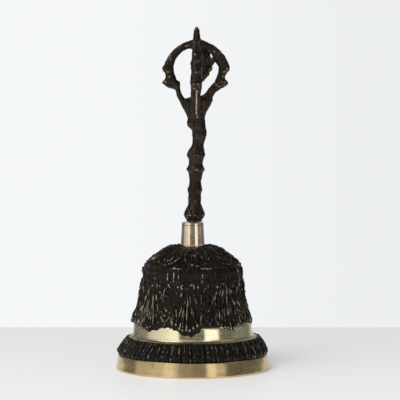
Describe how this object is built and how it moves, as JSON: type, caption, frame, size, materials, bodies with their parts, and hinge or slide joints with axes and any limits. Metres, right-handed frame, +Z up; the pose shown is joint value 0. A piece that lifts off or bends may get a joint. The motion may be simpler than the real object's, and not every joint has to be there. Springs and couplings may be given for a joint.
{
  "type": "hand bell",
  "caption": "Himalayan hand bell: flared cast bell with relief, polished lip and waist, turned collar, half-vajra handle and a clapper on a link.",
  "frame": {"origin": "centre of the plane that the bell's lip stands on", "axes": "+Z up the bell's axis to the handle; +X to the right of someone who faces the front prong, which stands at -Y"},
  "size_m": [0.0806, 0.0806, 0.1787],
  "materials": {
    "bell_brass": "near-black brown patina over cast relief, worn to brass on raised edges, with a polished lip and waist band",
    "polished_brass": "turned and polished pale brass",
    "patinated_brass": "near-black brown patina on a rough casting, worn to brass on raised edges",
    "steel": "plain bright steel, a little tarnished",
    "clapper_brass": "turned brass, dulled by handling and strikes"
  },
  "bodies": {
    "bell": {"bell_body": "bell_brass", "handle_collar": "polished_brass", "handle": "patinated_brass", "hanger_bolt": "steel", "washer": "steel", "lock_nut": "steel"},
    "link": {"clapper_link": "steel"},
    "clapper": {"clapper_rod": "steel", "clapper_ball": "clapper_brass"}
  },
  "joints": [
    {"name": "link_swing", "type": "hinge", "parent": "bell", "child": "link", "pos_m": [0, 0, 0.0464], "axis": [1, 0, 0], "range_deg": [-12, 12]},
    {"name": "clapper_swing", "type": "hinge", "parent": "link", "child": "clapper", "pos_m": [0, 0, 0.0386], "axis": [0, 1, 0], "range_deg": [-43, 43]}
  ]
}
